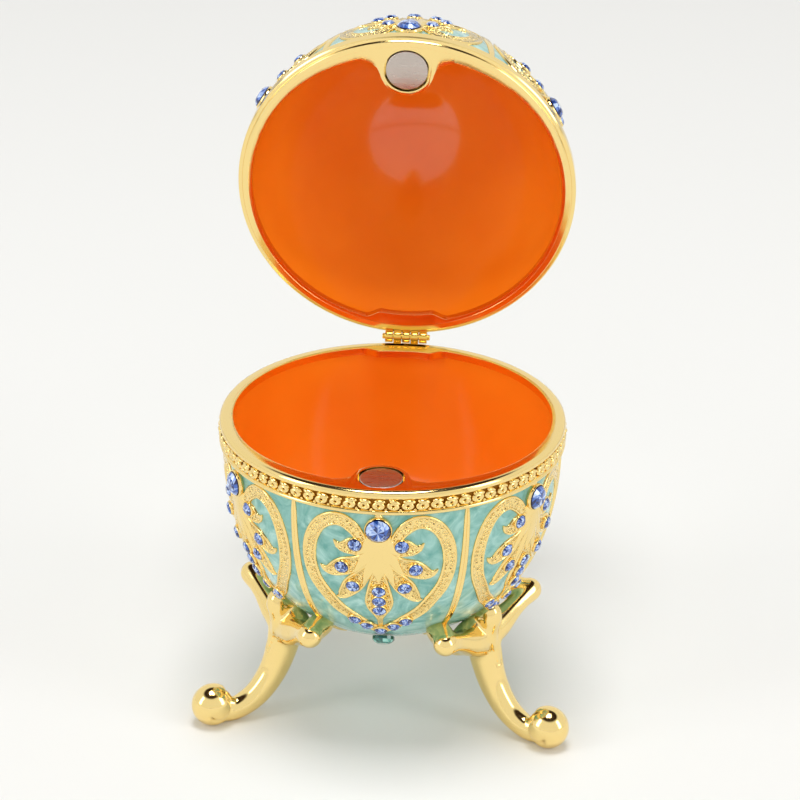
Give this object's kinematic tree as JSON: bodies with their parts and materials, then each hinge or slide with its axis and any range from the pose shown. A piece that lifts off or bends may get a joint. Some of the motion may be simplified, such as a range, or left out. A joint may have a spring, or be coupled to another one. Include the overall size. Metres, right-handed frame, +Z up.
{
  "type": "egg trinket box",
  "caption": "Hinged egg-shaped trinket box of cast, gilt and enamelled metal set with stones, standing open on scrolled legs.",
  "frame": {"origin": "on the floor under the middle of the open box's bounding box", "axes": "+Z up, -Y the front that the open lid faces, +X to the right seen from the front, along the hinge's axis"},
  "size_m": [0.0662, 0.0911, 0.1143],
  "materials": {
    "enamelled_gilt": "pale aqua enamel between gold-plated relief outside, orange enamel inside",
    "gilt": "polished gold plate",
    "hinge_brass": "plain rolled brass",
    "magnet_nickel": "nickel plated",
    "cut_stone": "foil-backed cut glass, light sapphire blue"
  },
  "bodies": {
    "base": {"bowl_shell": "enamelled_gilt", "leg_right": "gilt", "leg_back": "gilt", "leg_left": "gilt", "hinge_leaf_bowl": "hinge_brass", "hinge_pin": "hinge_brass", "magnet_bowl": "magnet_nickel", "bowl_stone_1": "cut_stone", "bowl_stone_2": "cut_stone", "bowl_stone_3": "cut_stone", "bowl_stone_4": "cut_stone", "bowl_stone_5": "cut_stone", "bowl_stone_6": "cut_stone", "bowl_stone_row_1": "cut_stone", "bowl_stone_row_2": "cut_stone", "bowl_stone_row_3": "cut_stone", "bowl_stone_row_4": "cut_stone", "bowl_stone_row_5": "cut_stone", "bowl_stone_row_6": "cut_stone"},
    "lid": {"lid_shell": "enamelled_gilt", "hinge_leaf_lid": "hinge_brass", "magnet_lid": "magnet_nickel", "lid_stone_1": "cut_stone", "lid_stone_2": "cut_stone", "lid_stone_3": "cut_stone", "lid_stone_4": "cut_stone", "lid_stone_5": "cut_stone", "lid_stone_6": "cut_stone", "lid_stone_row_1": "cut_stone", "lid_stone_row_2": "cut_stone", "lid_stone_row_3": "cut_stone", "lid_stone_row_4": "cut_stone", "lid_stone_row_5": "cut_stone", "lid_stone_row_6": "cut_stone"}
  },
  "joints": [
    {"name": "lid_hinge", "type": "hinge", "parent": "base", "child": "lid", "pos_m": [0.00054, 0.01459, 0.05435], "axis": [1, 0, 0], "range_deg": [0, 83]}
  ]
}
